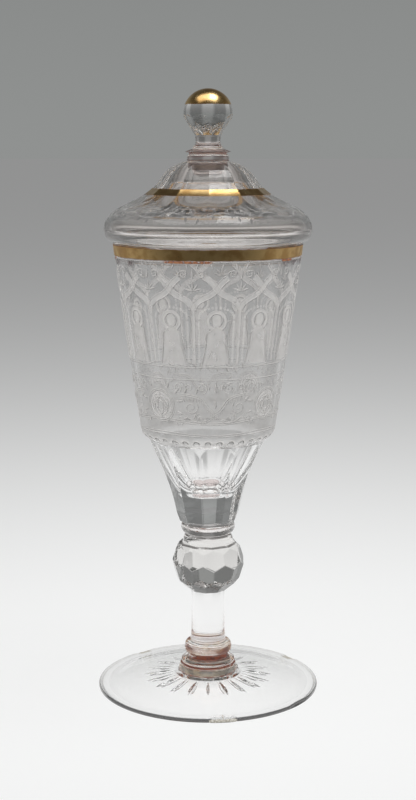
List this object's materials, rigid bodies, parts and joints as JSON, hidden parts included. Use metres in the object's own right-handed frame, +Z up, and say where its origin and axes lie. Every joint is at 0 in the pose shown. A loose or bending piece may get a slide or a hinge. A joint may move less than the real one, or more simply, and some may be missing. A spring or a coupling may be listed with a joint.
{
  "type": "covered glass goblet",
  "caption": "Tall covered chalice of clear cut glass on a spreading foot, with a faceted knop, a flared bowl with a gilt rim and a loose domed lid with a ball finial.",
  "frame": {"origin": "centre of the foot's underside, on the plane that the foot stands on", "axes": "+Z up along the goblet's axis from foot to finial, +X to the right and -Y towards the viewer in the reference picture"},
  "size_m": [0.112, 0.112, 0.3003],
  "materials": {
    "clear_glass": "polished",
    "engraved_glass": "polished with matt wheel engraving",
    "gilding": "burnished gold leaf, worn"
  },
  "bodies": {
    "goblet": {"foot": "clear_glass", "base_disc": "clear_glass", "lower_ring": "clear_glass", "upper_ring": "clear_glass", "stem": "clear_glass", "knop": "clear_glass", "bowl_collar": "clear_glass", "bowl": "engraved_glass", "rim_gilding": "gilding"},
    "lid": {"lid": "engraved_glass", "lid_gilding": "gilding", "finial_bead": "clear_glass", "finial_disc": "clear_glass", "finial_neck": "clear_glass", "finial_ball": "clear_glass", "finial_cap": "gilding"}
  },
  "joints": [
    {"name": "lid_lift", "type": "slide", "parent": "goblet", "child": "lid", "axis": [0, 0, 1], "range_m": [0, 0.1]}
  ]
}
